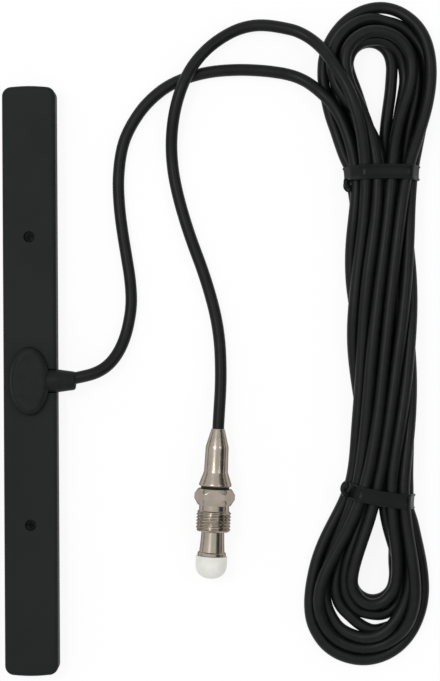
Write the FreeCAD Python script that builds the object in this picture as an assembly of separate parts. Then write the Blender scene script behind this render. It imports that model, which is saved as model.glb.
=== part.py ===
import FreeCAD
import Part
import math
import os

# Stick-on window antenna for a mobile network: a slim strip with a centre-fed dipole inside,
# a thin coaxial cable wound into a tied hank, and a screw-on coaxial connector at its end.
# Millimetres, +Z up. The strip lies along Y, its adhesive back is on z = 0 and its middle is at
# x = y = 0. Cable, hank and connector lie on the same surface, on the +X side.

V = FreeCAD.Vector
UP = V(0, 0, 1)

# Strip outline and shells
STRIP_LENGTH = 137.0
STRIP_WIDTH = 12.4
STRIP_CORNER_RADIUS = 2.2
END_SLOPE = 5.0
END_ARCH_RADIUS = 34.0
PAD_THICKNESS = 0.8
PAD_INSET = 0.6
COVER_HEIGHT = 5.2
COVER_WALL = 1.1
COVER_TOP = 1.1
COVER_EDGE_RADIUS = 1.0
BASE_THICKNESS = 1.2
FIT_GAP = 0.1

# Antenna board and its copper arms
BOARD_LENGTH = 127.0
BOARD_WIDTH = 8.4
BOARD_THICKNESS = 0.8
BOARD_CORNER_RADIUS = 0.8
RAIL_HEIGHT = 0.6
RAIL_WIDTH = 0.8
RAIL_INSET = 0.4
ARM_LENGTH = 60.0
ARM_WIDTH = 7.2
ARM_CORNER_RADIUS = 0.6
ARM_FEED_GAP = 2.4
FOIL_THICKNESS = 0.1

# Screws that clamp cover, board and base
SCREW_SPACING = 66.8
SCREW_SHANK_DIAMETER = 1.5
SCREW_HEAD_DIAMETER = 2.4
SCREW_HEAD_HEIGHT = 0.7
SCREW_LENGTH = 3.2
SCREW_SINK = 0.7
SCREW_SLOT_WIDTH = 0.35
SCREW_SLOT_DEPTH = 0.35
SCREW_SLOT_LENGTH = 1.5
SCREW_TIP_GAP = 0.2
POST_DIAMETER = 3.2
SLEEVE_DIAMETER = 4.8

# Oval cable grommet with its tapered boot
GROMMET_LENGTH = 15.8
GROMMET_WIDTH = 9.0
GROMMET_RISE = 2.2
GROMMET_EDGE_RADIUS = 1.3
GROMMET_LIP = 0.8
PLUG_DEPTH = 1.8
EXIT_BELOW_FACE = 0.8
BOOT_ROOT_DIAMETER = 5.4
BOOT_END_DIAMETER = 4.2
BOOT_REACH = 4.4
BOOT_END_RADIUS = 0.65
POCKET_LENGTH = 6.4
POCKET_WIDTH = 4.6
POCKET_HEIGHT = 2.2

# Coaxial cable and its stripped end
CABLE_DIAMETER = 2.8
CABLE_REST_GAP = 0.02
CABLE_BEND_SHARE = 0.45
JACKET_GRIP = 3.4
DIELECTRIC_DIAMETER = 1.5
DIELECTRIC_BARE_END = 1.6
CORE_DIAMETER = 0.5
PIGTAIL_DIAMETER = 0.56
PIGTAIL_OFFSET = 1.05
PAD_OFFSET = 2.4
SOLDER_DIAMETER = 1.8
SOLDER_WAIST_DIAMETER = 1.2
SOLDER_HEIGHT = 0.6

# Connector, lengths along its axis from the cable end of the ferrule
CONNECTOR_X = 43.56
CONNECTOR_Y = -11.4
CONNECTOR_SWING = -3.25
CABLE_GRIP = 4.0
CABLE_RUN_OUT = 4.0
FERRULE_MOUTH_DIAMETER = 3.3
FERRULE_CONE_LENGTH = 4.2
FERRULE_DIAMETER = 5.6
FERRULE_STRAIGHT_LENGTH = 5.9
FERRULE_FLARE_LENGTH = 3.25
FERRULE_FLARE_DIAMETER = 8.0
FERRULE_LIP_RADIUS = 0.45
BARREL_DIAMETER = 4.2
GROOVE_LENGTH = 0.6
GROOVE_DIAMETER = 6.6
HEX_ACROSS_FLATS = 8.2
HEX_LENGTH = 3.8
HEX_CHAMFER = 1.2
HEX_CHAMFER_DEPTH = 0.85
COLLAR_DIAMETER = 7.0
COLLAR_LENGTH = 1.3
THREAD_DIAMETER = 8.0
THREAD_LENGTH = 4.4
THREAD_CHAMFER = 0.4
NECK_DIAMETER = 5.3
NECK_END_DIAMETER = 5.9
NECK_LENGTH = 4.9
RING_DIAMETER = 6.6
RING_LENGTH = 0.85
NOSE_DIAMETER = 5.8
NOSE_LENGTH = 3.6
INSULATOR_DIAMETER = 4.2
INSULATOR_LENGTH = 17.0
INSULATOR_SINK = 0.6
SOCKET_DIAMETER = 1.9
SOCKET_LENGTH = 12.0
SOCKET_BORE_DIAMETER = 1.0
SOCKET_BORE_DEPTH = 4.5
PIN_DIAMETER = 1.1
PIN_ROOM = 0.3
CAP_DIAMETER = 7.3
CAP_LENGTH = 5.2
CAP_END_RADIUS = 3.0

# Hank: a loop at each end of a tied waist
HANK_HEIGHT = 8.4
HANK_EDGE_RADIUS = 2.3
UPPER_LOOP_X = 81.6
UPPER_LOOP_Y = 73.9
UPPER_LOOP_RADIUS = 13.8
LOWER_LOOP_X = 77.7
LOWER_LOOP_Y = -53.3
LOWER_LOOP_RADIUS = 14.1
WAIST_LEFT = 74.0
WAIST_WIDTH = 16.0
WAIST_TOP = 44.0
WAIST_BOTTOM = -22.0
WAIST_BLEND_RADIUS = 40.0
UPPER_HOLE_X = 79.6
UPPER_HOLE_Y = 73.5
UPPER_HOLE_TIP_X = 81.8
UPPER_HOLE_TIP_Y = 58.2
LOWER_HOLE_X = 79.8
LOWER_HOLE_Y = -46.6
LOWER_HOLE_TIP_X = 80.0
LOWER_HOLE_TIP_Y = -31.1
HOLE_RADIUS = 3.85
HOLE_TIP_RADIUS = 1.2

# Flat ties with a bead along each edge
TIE_WIDTH = 3.5
TIE_THICKNESS = 0.6
TIE_BEAD_WIDTH = 0.7
TIE_BEAD_RISE = 0.15
TIE_CORNER_RADIUS = 2.4
UPPER_TIE_Y = 47.8
UPPER_TIE_SKEW = 2.0
LOWER_TIE_Y = -26.6
LOWER_TIE_SKEW = -10.0

# Levels and places worked out from the sizes above
COVER_FACE = PAD_THICKNESS + COVER_HEIGHT
COVER_CEILING = COVER_FACE - COVER_TOP
BASE_TOP = PAD_THICKNESS + BASE_THICKNESS
BOARD_BOTTOM = BASE_TOP + RAIL_HEIGHT
BOARD_TOP = BOARD_BOTTOM + BOARD_THICKNESS
FOIL_TOP = BOARD_TOP + FOIL_THICKNESS
SCREW_PLACES = [V(0, side * SCREW_SPACING / 2, 0) for side in (-1, 1)]
SCREW_SEAT = COVER_FACE - SCREW_SINK - SCREW_HEAD_HEIGHT
SCREW_HOLE_FLOOR = SCREW_SEAT - SCREW_LENGTH - SCREW_TIP_GAP
PLUG_BOTTOM = COVER_FACE - PLUG_DEPTH
EXIT_HEIGHT = COVER_FACE - EXIT_BELOW_FACE
BOOT_END = STRIP_WIDTH / 2 + BOOT_REACH
JACKET_END = BOOT_END - JACKET_GRIP
FERRULE_LENGTH = FERRULE_CONE_LENGTH + FERRULE_STRAIGHT_LENGTH + FERRULE_FLARE_LENGTH
HEX_START = FERRULE_LENGTH + GROOVE_LENGTH
HEX_END = HEX_START + HEX_LENGTH
THREAD_START = HEX_END + COLLAR_LENGTH
THREAD_END = THREAD_START + THREAD_LENGTH
NECK_END = THREAD_END + THREAD_CHAMFER + NECK_LENGTH
RING_END = NECK_END + RING_LENGTH
NOSE_END = RING_END + NOSE_LENGTH
INSULATOR_END = NOSE_END - INSULATOR_SINK
INSULATOR_START = INSULATOR_END - INSULATOR_LENGTH
SOCKET_START = INSULATOR_END - SOCKET_LENGTH
CABLE_LEVEL = CABLE_DIAMETER / 2 + CABLE_REST_GAP
WAIST_RIGHT = WAIST_LEFT + WAIST_WIDTH
UPPER_LOOP_CENTRE = V(UPPER_LOOP_X, UPPER_LOOP_Y, 0)
LOWER_LOOP_CENTRE = V(LOWER_LOOP_X, LOWER_LOOP_Y, 0)
UPPER_HOLE_CENTRE = V(UPPER_HOLE_X, UPPER_HOLE_Y, 0)
UPPER_HOLE_TIP = V(UPPER_HOLE_TIP_X, UPPER_HOLE_TIP_Y, 0)
LOWER_HOLE_CENTRE = V(LOWER_HOLE_X, LOWER_HOLE_Y, 0)
LOWER_HOLE_TIP = V(LOWER_HOLE_TIP_X, LOWER_HOLE_TIP_Y, 0)

# Cable from the boot to the hank, chosen by hand: it drops to the surface and stays on it.
ANTENNA_LEAD_ROUTE = [
    V(JACKET_END, 0, EXIT_HEIGHT),
    V(13.4, 0, EXIT_HEIGHT),
    V(19.0, 2.6, 4.3),
    V(22.4, 7.8, 2.6),
    V(23.8, 13.9, 1.5),
    V(23.8, 20.8, CABLE_LEVEL),
    V(22.8, 29.0, CABLE_LEVEL),
    V(21.2, 37.5, CABLE_LEVEL),
    V(20.7, 46.0, CABLE_LEVEL),
    V(21.7, 54.3, CABLE_LEVEL),
    V(24.5, 61.2, CABLE_LEVEL),
    V(29.2, 66.6, CABLE_LEVEL),
    V(35.2, 70.2, CABLE_LEVEL),
    V(42.2, 72.2, CABLE_LEVEL),
    V(49.6, 72.8, CABLE_LEVEL),
    V(57.0, 72.1, CABLE_LEVEL),
    V(63.6, 69.8, CABLE_LEVEL),
    V(68.9, 65.8, CABLE_LEVEL),
    V(72.6, 60.4, CABLE_LEVEL),
    V(75.0, 54.2, CABLE_LEVEL),
]

# Cable from the connector to the hank, over the antenna lead and up onto the hank's side.
CONNECTOR_LEAD_ROUTE = [
    V(44.4, 1.2, 3.0),
    V(44.0, 10.6, 1.7),
    V(41.7, 20.8, CABLE_LEVEL),
    V(38.2, 31.2, CABLE_LEVEL),
    V(35.0, 41.4, 1.5),
    V(33.2, 50.6, 2.2),
    V(33.0, 59.0, 4.4),
    V(34.6, 66.4, 7.2),
    V(38.0, 73.0, 7.2),
    V(42.8, 78.4, 5.2),
    V(48.8, 82.0, 4.0),
    V(55.4, 83.2, 4.0),
    V(61.6, 81.8, 5.0),
    V(67.4, 78.4, 6.0),
    V(72.2, 74.0, 6.4),
    V(75.6, 68.0, 6.4),
]


# Drawing helpers
def corner_arc(before, corner, after, reach):
    """Start, middle and end of the arc that rounds a corner, beginning reach along each side."""
    to_before = (before - corner).normalize()
    to_after = (after - corner).normalize()
    half_angle = to_before.getAngle(to_after) / 2
    radius = reach * math.tan(half_angle)
    bisector = (to_before + to_after).normalize()
    middle = corner + bisector * (radius / math.sin(half_angle) - radius)
    return corner + to_before * reach, middle, corner + to_after * reach


def rounded_outline(corners):
    """Closed wire through (point, radius) corners, each rounded by a tangent arc."""
    count = len(corners)
    arcs = []
    for i, (corner, radius) in enumerate(corners):
        before = corners[i - 1][0]
        after = corners[(i + 1) % count][0]
        half_angle = (before - corner).getAngle(after - corner) / 2
        arcs.append(corner_arc(before, corner, after, radius / math.tan(half_angle)))
    edges = []
    for i, (start, middle, end) in enumerate(arcs):
        edges.append(Part.Arc(start, middle, end).toShape())
        edges.append(Part.LineSegment(end, arcs[(i + 1) % count][0]).toShape())
    return Part.Wire(edges)


def slab(outline, bottom, top):
    """Solid between two levels with the given outline, which is drawn at level zero."""
    face = Part.Face(outline)
    face.translate(UP * bottom)
    return face.extrude(UP * (top - bottom))


def round_rectangle(width, length, radius):
    """Centred rectangle with rounded corners."""
    signs = [(-1, -1), (1, -1), (1, 1), (-1, 1)]
    return rounded_outline([(V(x * width / 2, y * length / 2, 0), radius) for x, y in signs])


def oval(width, length):
    """Centred ellipse whose longer axis lies along Y."""
    curve = Part.Ellipse(V(0, length / 2, 0), V(width / 2, 0, 0), V(0, 0, 0))
    return Part.Wire(curve.toShape())


def rod(diameter, start, end):
    """Round rod between two points."""
    return Part.makeCylinder(diameter / 2, start.distanceToPoint(end), start, end - start)


def turned(stations):
    """Solid of revolution about Z. A station is (height, radius), or (height, radius, radius at the
    middle of a curved run up to it)."""
    points = [V(station[1], 0, station[0]) for station in stations]
    edges = []
    for before, after, station in zip(points, points[1:], stations[1:]):
        if len(station) == 3:
            middle = V(station[2], 0, (before.z + after.z) / 2)
            edges.append(Part.Arc(before, middle, after).toShape())
        else:
            edges.append(Part.LineSegment(before, after).toShape())
    first = V(0, 0, points[0].z)
    last = V(0, 0, points[-1].z)
    edges.append(Part.LineSegment(points[-1], last).toShape())
    edges.append(Part.LineSegment(last, first).toShape())
    edges.append(Part.LineSegment(first, points[0]).toShape())
    return Part.Face(Part.Wire(edges)).revolve(V(0, 0, 0), UP, 360)


def tube_along(route, diameter, label):
    """Round tube along straight runs joined by the largest tangent arcs that the runs allow."""
    edges = []
    radii = []
    position = route[0]
    for before, corner, after in zip(route, route[1:], route[2:]):
        shorter = min(before.distanceToPoint(corner), corner.distanceToPoint(after))
        start, middle, end = corner_arc(before, corner, after, CABLE_BEND_SHARE * shorter)
        edges.append(Part.LineSegment(position, start).toShape())
        arc = Part.Arc(start, middle, end).toShape()
        edges.append(arc)
        radii.append(round(arc.Curve.Radius, 1))
        position = end
    edges.append(Part.LineSegment(position, route[-1]).toShape())
    path = Part.Wire(edges)
    circle = Part.Circle(route[0], route[1] - route[0], diameter / 2)
    tube = path.makePipeShell([Part.Wire(circle.toShape())], True, False)
    expected = path.Length * math.pi * diameter**2 / 4
    ratio = tube.Volume / expected
    print(f"{label}: length {path.Length:.1f}, volume ratio {ratio:.4f}, radii {radii}")
    return tube


# Strip
def strip_outline(inset):
    """Strip's plan moved inwards: straight sides, rounded corners and slightly arched ends."""
    half_width = STRIP_WIDTH / 2 - inset
    slope = math.radians(END_SLOPE)
    peak = STRIP_LENGTH / 2 - inset + END_ARCH_RADIUS * (1 / math.cos(slope) - 1)
    shoulder = peak - half_width * math.tan(slope)
    corner_radius = max(STRIP_CORNER_RADIUS - inset, COVER_WALL / 2)
    corners = []
    for end in (-1, 1):
        corners.append((V(end * half_width, end * shoulder, 0), corner_radius))
        corners.append((V(0, end * peak, 0), END_ARCH_RADIUS))
        corners.append((V(-end * half_width, end * shoulder, 0), corner_radius))
    return rounded_outline(corners)


def boot_slot():
    """Room for the boot in the cover's side, open at the top so that the grommet drops in."""
    radius = BOOT_ROOT_DIAMETER / 2 + FIT_GAP
    axis_start = V(0, 0, EXIT_HEIGHT)
    outside = V(STRIP_WIDTH, 0, EXIT_HEIGHT)
    channel = rod(2 * radius, axis_start, outside)
    open_top = Part.makeBox(STRIP_WIDTH, 2 * radius, COVER_HEIGHT, V(0, -radius, EXIT_HEIGHT))
    return channel.fuse(open_top)


def front_cover():
    shell = slab(strip_outline(0), PAD_THICKNESS, COVER_FACE)
    rim = [edge for edge in shell.Edges if edge.BoundBox.ZMin > COVER_FACE - FIT_GAP]
    shell = shell.makeFillet(COVER_EDGE_RADIUS, rim)
    shell = shell.cut(slab(strip_outline(COVER_WALL), PAD_THICKNESS, COVER_CEILING))
    for place in SCREW_PLACES:
        shell = shell.fuse(rod(SLEEVE_DIAMETER, place + UP * BOARD_TOP, place + UP * COVER_CEILING))
    for place in SCREW_PLACES:
        head_hole = rod(SCREW_HEAD_DIAMETER + 2 * FIT_GAP, place + UP * SCREW_SEAT, place + UP * COVER_FACE)
        shank_hole = rod(SCREW_SHANK_DIAMETER + 2 * FIT_GAP, place + UP * BOARD_TOP, place + UP * SCREW_SEAT)
        shell = shell.cut(head_hole).cut(shank_hole)
    seat_inset = 2 * (GROMMET_LIP - FIT_GAP)
    seat = oval(GROMMET_WIDTH - seat_inset, GROMMET_LENGTH - seat_inset)
    shell = shell.cut(slab(seat, PAD_THICKNESS, COVER_FACE + GROMMET_RISE))
    return shell.cut(boot_slot()).removeSplitter()


def base_plate():
    plate = slab(strip_outline(COVER_WALL + FIT_GAP), PAD_THICKNESS, BASE_TOP)
    rail_x = BOARD_WIDTH / 2 - RAIL_INSET - RAIL_WIDTH
    for left_edge in (-rail_x - RAIL_WIDTH, rail_x):
        corner = V(left_edge, -BOARD_LENGTH / 2, BASE_TOP)
        plate = plate.fuse(Part.makeBox(RAIL_WIDTH, BOARD_LENGTH, RAIL_HEIGHT, corner))
    for place in SCREW_PLACES:
        plate = plate.fuse(rod(POST_DIAMETER, place + UP * BASE_TOP, place + UP * BOARD_TOP))
    for place in SCREW_PLACES:
        pilot = rod(SCREW_SHANK_DIAMETER, place + UP * SCREW_HOLE_FLOOR, place + UP * BOARD_TOP)
        plate = plate.cut(pilot)
    return plate.removeSplitter()


def adhesive_pad():
    return slab(strip_outline(PAD_INSET), 0, PAD_THICKNESS)


def antenna_board():
    board = slab(round_rectangle(BOARD_WIDTH, BOARD_LENGTH, BOARD_CORNER_RADIUS), BOARD_BOTTOM, BOARD_TOP)
    for place in SCREW_PLACES:
        post_hole = rod(POST_DIAMETER + 2 * FIT_GAP, place + UP * BOARD_BOTTOM, place + UP * BOARD_TOP)
        board = board.cut(post_hole)
    return board


def dipole_arm(side):
    """Copper arm on one half of the board, with a bare ring where the cover's sleeve presses."""
    arm = slab(round_rectangle(ARM_WIDTH, ARM_LENGTH, ARM_CORNER_RADIUS), BOARD_TOP, FOIL_TOP)
    arm.translate(V(0, side * (ARM_FEED_GAP + ARM_LENGTH) / 2, 0))
    for place in SCREW_PLACES:
        arm = arm.cut(rod(SLEEVE_DIAMETER + 2 * FIT_GAP, place + UP * BOARD_TOP, place + UP * FOIL_TOP))
    return arm


def cover_screws():
    screws = []
    for place in SCREW_PLACES:
        seat = place + UP * SCREW_SEAT
        head = rod(SCREW_HEAD_DIAMETER, seat, seat + UP * SCREW_HEAD_HEIGHT)
        shank = rod(SCREW_SHANK_DIAMETER, seat - UP * SCREW_LENGTH, seat)
        screw = head.fuse(shank).removeSplitter()
        slot_bottom = SCREW_SEAT + SCREW_HEAD_HEIGHT - SCREW_SLOT_DEPTH
        for size_x, size_y in ((SCREW_SLOT_LENGTH, SCREW_SLOT_WIDTH), (SCREW_SLOT_WIDTH, SCREW_SLOT_LENGTH)):
            corner = place + V(-size_x / 2, -size_y / 2, slot_bottom)
            screw = screw.cut(Part.makeBox(size_x, size_y, SCREW_HEAD_HEIGHT, corner))
        screws.append(screw)
    return Part.makeCompound(screws)


# Cable grommet and the stripped cable end
def boot():
    """Tapered boot along +X with a rounded end."""
    root = BOOT_ROOT_DIAMETER / 2
    end = BOOT_END_DIAMETER / 2
    taper = turned([(0, root), (STRIP_WIDTH / 2, root), (BOOT_END, end)])
    rim = [edge for edge in taper.Edges if edge.BoundBox.ZMin > BOOT_END - FIT_GAP]
    taper = taper.makeFillet(BOOT_END_RADIUS, rim)
    taper.rotate(V(0, 0, 0), V(0, 1, 0), 90)
    taper.translate(UP * EXIT_HEIGHT)
    inner_wall = STRIP_WIDTH / 2 - COVER_WALL + FIT_GAP
    box_corner = V(0, -STRIP_WIDTH / 2, PLUG_BOTTOM - COVER_HEIGHT)
    below_plug = Part.makeBox(inner_wall, STRIP_WIDTH, COVER_HEIGHT, box_corner)
    return taper.cut(below_plug)


def cable_grommet():
    dome = slab(oval(GROMMET_WIDTH, GROMMET_LENGTH), COVER_FACE, COVER_FACE + GROMMET_RISE)
    rim = [edge for edge in dome.Edges if edge.BoundBox.ZMin > COVER_FACE + GROMMET_RISE - FIT_GAP]
    dome = dome.makeFillet(GROMMET_EDGE_RADIUS, rim)
    plug_outline = oval(GROMMET_WIDTH - 2 * GROMMET_LIP, GROMMET_LENGTH - 2 * GROMMET_LIP)
    grommet = dome.fuse(slab(plug_outline, PLUG_BOTTOM, COVER_FACE)).fuse(boot())
    pocket_corner = V(-POCKET_WIDTH / 2, -POCKET_LENGTH / 2, PLUG_BOTTOM)
    grommet = grommet.cut(Part.makeBox(POCKET_WIDTH, POCKET_LENGTH, POCKET_HEIGHT, pocket_corner))
    grommet = grommet.cut(rod(CABLE_DIAMETER, V(0, 0, EXIT_HEIGHT), V(BOOT_END, 0, EXIT_HEIGHT)))
    return grommet.removeSplitter()


def feed_wire():
    route = [
        V(JACKET_END, 0, EXIT_HEIGHT),
        V(CORE_DIAMETER, 0, EXIT_HEIGHT),
        V(0, PAD_OFFSET, EXIT_HEIGHT - CORE_DIAMETER),
        V(0, PAD_OFFSET, FOIL_TOP),
    ]
    return tube_along(route, CORE_DIAMETER, "feed wire")


def cable_dielectric():
    start = V(DIELECTRIC_BARE_END, 0, EXIT_HEIGHT)
    end = V(JACKET_END, 0, EXIT_HEIGHT)
    return rod(DIELECTRIC_DIAMETER, start, end).cut(rod(CORE_DIAMETER, start, end))


def braid_pigtail():
    route = [
        V(JACKET_END, -PIGTAIL_OFFSET, EXIT_HEIGHT),
        V(DIELECTRIC_BARE_END, -PIGTAIL_OFFSET, EXIT_HEIGHT),
        V(0, -PAD_OFFSET, EXIT_HEIGHT - PIGTAIL_DIAMETER),
        V(0, -PAD_OFFSET, FOIL_TOP),
    ]
    return tube_along(route, PIGTAIL_DIAMETER, "braid pigtail")


def solder_joints(wires):
    joints = []
    for side, wire in zip((1, -1), wires):
        place = V(0, side * PAD_OFFSET, 0)
        cone = turned([
            (FOIL_TOP, SOLDER_DIAMETER / 2),
            (FOIL_TOP + SOLDER_HEIGHT, PIGTAIL_DIAMETER / 2, SOLDER_WAIST_DIAMETER / 2),
        ])
        cone.translate(place)
        joints.append(cone.cut(wire))
    return Part.makeCompound(joints)


# Connector, turned about its own axis and then laid down on one flat of its hexagon
def lay_connector(shape):
    shape.rotate(V(0, 0, 0), V(1, 0, 0), 90)
    shape.rotate(V(0, 0, 0), UP, CONNECTOR_SWING)
    shape.translate(V(CONNECTOR_X, CONNECTOR_Y, HEX_ACROSS_FLATS / 2))
    return shape


def on_connector_axis(distance):
    """Point on the connector's axis, at this distance from the ferrule's cable end."""
    swing = math.radians(CONNECTOR_SWING)
    along = V(math.sin(swing), -math.cos(swing), 0)
    return V(CONNECTOR_X, CONNECTOR_Y, HEX_ACROSS_FLATS / 2) + along * distance


def axial_rod(diameter, start, end):
    return rod(diameter, UP * start, UP * end)


def crimp_ferrule():
    straight_end = FERRULE_LENGTH - FERRULE_FLARE_LENGTH
    ferrule = turned([
        (0, FERRULE_MOUTH_DIAMETER / 2),
        (FERRULE_CONE_LENGTH, FERRULE_DIAMETER / 2),
        (straight_end, FERRULE_DIAMETER / 2),
        (FERRULE_LENGTH, FERRULE_FLARE_DIAMETER / 2),
    ])
    lip = [edge for edge in ferrule.Edges if edge.BoundBox.ZMin > FERRULE_LENGTH - FIT_GAP]
    ferrule = ferrule.makeFillet(FERRULE_LIP_RADIUS, lip)
    ferrule = ferrule.cut(axial_rod(CABLE_DIAMETER, 0, CABLE_GRIP))
    return lay_connector(ferrule.cut(axial_rod(BARREL_DIAMETER, CABLE_GRIP, FERRULE_LENGTH)))


def connector_body():
    hexagon = slab(hexagon_outline(), HEX_START, HEX_END)
    tip = HEX_ACROSS_FLATS / math.sqrt(3)
    bevel = turned([
        (HEX_START, tip - HEX_CHAMFER_DEPTH),
        (HEX_START + HEX_CHAMFER, tip),
        (HEX_END - HEX_CHAMFER, tip),
        (HEX_END, tip - HEX_CHAMFER_DEPTH),
    ])
    body = turned([
        (CABLE_GRIP, BARREL_DIAMETER / 2),
        (FERRULE_LENGTH, BARREL_DIAMETER / 2),
        (FERRULE_LENGTH, GROOVE_DIAMETER / 2),
        (HEX_END, GROOVE_DIAMETER / 2),
        (HEX_END, COLLAR_DIAMETER / 2),
        (THREAD_START, COLLAR_DIAMETER / 2),
        (THREAD_START, THREAD_DIAMETER / 2),
        (THREAD_END, THREAD_DIAMETER / 2),
        (THREAD_END + THREAD_CHAMFER, THREAD_DIAMETER / 2 - THREAD_CHAMFER),
        (THREAD_END + THREAD_CHAMFER, NECK_DIAMETER / 2),
        (NECK_END, NECK_END_DIAMETER / 2),
        (NECK_END, RING_DIAMETER / 2),
        (RING_END, RING_DIAMETER / 2),
        (RING_END, NOSE_DIAMETER / 2),
        (NOSE_END, NOSE_DIAMETER / 2),
    ])
    body = body.fuse(hexagon.common(bevel)).removeSplitter()
    body = body.cut(axial_rod(PIN_DIAMETER + 2 * PIN_ROOM, CABLE_GRIP, INSULATOR_START))
    return lay_connector(body.cut(axial_rod(INSULATOR_DIAMETER, INSULATOR_START, NOSE_END)))


def hexagon_outline():
    """Hexagon with two flats across local Y, which become its top and bottom when it lies down."""
    tip = HEX_ACROSS_FLATS / math.sqrt(3)
    corners = []
    for i in range(7):
        angle = math.radians(60 * i)
        corners.append(V(tip * math.cos(angle), tip * math.sin(angle), 0))
    return Part.makePolygon(corners)


def connector_insulator():
    insulator = axial_rod(INSULATOR_DIAMETER, INSULATOR_START, INSULATOR_END)
    insulator = insulator.cut(axial_rod(PIN_DIAMETER, INSULATOR_START, SOCKET_START))
    return lay_connector(insulator.cut(axial_rod(SOCKET_DIAMETER, SOCKET_START, INSULATOR_END)))


def centre_socket():
    pin = axial_rod(PIN_DIAMETER, CABLE_GRIP, SOCKET_START)
    socket = pin.fuse(axial_rod(SOCKET_DIAMETER, SOCKET_START, INSULATOR_END)).removeSplitter()
    bore = axial_rod(SOCKET_BORE_DIAMETER, INSULATOR_END - SOCKET_BORE_DEPTH, INSULATOR_END)
    return lay_connector(socket.cut(bore))


def dust_cap():
    cap_end = RING_END + CAP_LENGTH
    cap = axial_rod(CAP_DIAMETER, RING_END, cap_end)
    rim = [edge for edge in cap.Edges if edge.BoundBox.ZMin > cap_end - FIT_GAP]
    cap = cap.makeFillet(CAP_END_RADIUS, rim)
    return lay_connector(cap.cut(axial_rod(NOSE_DIAMETER, RING_END, NOSE_END)))


# Hank and ties
def loop_corner(waist_point, centre, radius, side, far_y):
    """Where the line from a waist point past one side of a loop meets the loop's far end."""
    towards = centre - waist_point
    heading = math.atan2(towards.y, towards.x)
    spread = math.asin(radius / towards.Length)
    turn = side if towards.y > 0 else -side
    angle = heading + turn * spread
    rise = far_y - waist_point.y
    return V(waist_point.x + rise / math.tan(angle), far_y, 0)


def teardrop(tip, centre):
    """Opening inside a loop: pointed towards the waist and round at the far end."""
    far_y = centre.y + math.copysign(HOLE_RADIUS, centre.y - tip.y)
    far_radius = HOLE_RADIUS - FIT_GAP
    corners = [(tip, HOLE_TIP_RADIUS)]
    for side in (1, -1):
        corners.append((loop_corner(tip, centre, HOLE_RADIUS, side, far_y), far_radius))
    return rounded_outline(corners)


def hank_outline():
    upper_end = UPPER_LOOP_CENTRE.y + UPPER_LOOP_RADIUS
    lower_end = LOWER_LOOP_CENTRE.y - LOWER_LOOP_RADIUS
    left_top = V(WAIST_LEFT, WAIST_TOP, 0)
    right_top = V(WAIST_RIGHT, WAIST_TOP, 0)
    left_bottom = V(WAIST_LEFT, WAIST_BOTTOM, 0)
    right_bottom = V(WAIST_RIGHT, WAIST_BOTTOM, 0)
    upper_left = loop_corner(left_top, UPPER_LOOP_CENTRE, UPPER_LOOP_RADIUS, 1, upper_end)
    upper_right = loop_corner(right_top, UPPER_LOOP_CENTRE, UPPER_LOOP_RADIUS, -1, upper_end)
    lower_left = loop_corner(left_bottom, LOWER_LOOP_CENTRE, LOWER_LOOP_RADIUS, 1, lower_end)
    lower_right = loop_corner(right_bottom, LOWER_LOOP_CENTRE, LOWER_LOOP_RADIUS, -1, lower_end)
    return rounded_outline([
        (left_top, WAIST_BLEND_RADIUS),
        (upper_left, UPPER_LOOP_RADIUS - FIT_GAP),
        (upper_right, UPPER_LOOP_RADIUS - FIT_GAP),
        (right_top, WAIST_BLEND_RADIUS),
        (right_bottom, WAIST_BLEND_RADIUS),
        (lower_right, LOWER_LOOP_RADIUS - FIT_GAP),
        (lower_left, LOWER_LOOP_RADIUS - FIT_GAP),
        (left_bottom, WAIST_BLEND_RADIUS),
    ])


def tie_section(thickness, width):
    """Upright block of the tie's plan width whose section is the bound waist plus this thickness."""
    bound_width = WAIST_WIDTH - 2 * TIE_THICKNESS
    bound_height = HANK_HEIGHT - 2 * TIE_THICKNESS
    full_width = bound_width + 2 * thickness
    full_height = bound_height + 2 * thickness
    section = round_rectangle(full_width, full_height, TIE_CORNER_RADIUS + thickness)
    block = slab(section, -width / 2, width / 2)
    block.rotate(V(0, 0, 0), V(1, 0, 0), 90)
    return block


def place_tie(shape, tie_y, skew):
    shape.rotate(V(0, 0, 0), UP, skew)
    shape.translate(V(WAIST_LEFT + WAIST_WIDTH / 2, tie_y, HANK_HEIGHT / 2))
    return shape


def tie(tie_y, skew):
    """Flat band round the waist with a bead along each edge."""
    band = tie_section(TIE_THICKNESS - TIE_BEAD_RISE, TIE_WIDTH)
    for edge in (-1, 1):
        bead = tie_section(TIE_THICKNESS, TIE_BEAD_WIDTH)
        bead.translate(V(0, edge * (TIE_WIDTH - TIE_BEAD_WIDTH) / 2, 0))
        band = band.fuse(bead)
    band = band.removeSplitter().cut(tie_section(0, 2 * TIE_WIDTH))
    return place_tie(band, tie_y, skew)


def tie_groove(tie_y, skew):
    """What a tie squeezes out of the hank."""
    squeezed = tie_section(LOWER_LOOP_RADIUS, TIE_WIDTH).cut(tie_section(0, 2 * TIE_WIDTH))
    return place_tie(squeezed, tie_y, skew)


def cable_hank():
    hank = slab(hank_outline(), 0, HANK_HEIGHT)
    hank = hank.makeFillet(HANK_EDGE_RADIUS, level_edges(hank, HANK_HEIGHT))
    for tip, centre in ((UPPER_HOLE_TIP, UPPER_HOLE_CENTRE), (LOWER_HOLE_TIP, LOWER_HOLE_CENTRE)):
        hank = hank.cut(slab(teardrop(tip, centre), 0, HANK_HEIGHT))
    hank = hank.cut(tie_groove(UPPER_TIE_Y, UPPER_TIE_SKEW))
    return hank.cut(tie_groove(LOWER_TIE_Y, LOWER_TIE_SKEW))


def level_edges(shape, top):
    """Edges that lie flat in the bottom or the top face."""
    flat = []
    for edge in shape.Edges:
        if edge.BoundBox.ZLength < FIT_GAP and min(edge.BoundBox.ZMin, top - edge.BoundBox.ZMax) < FIT_GAP:
            flat.append(edge)
    return flat


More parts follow.
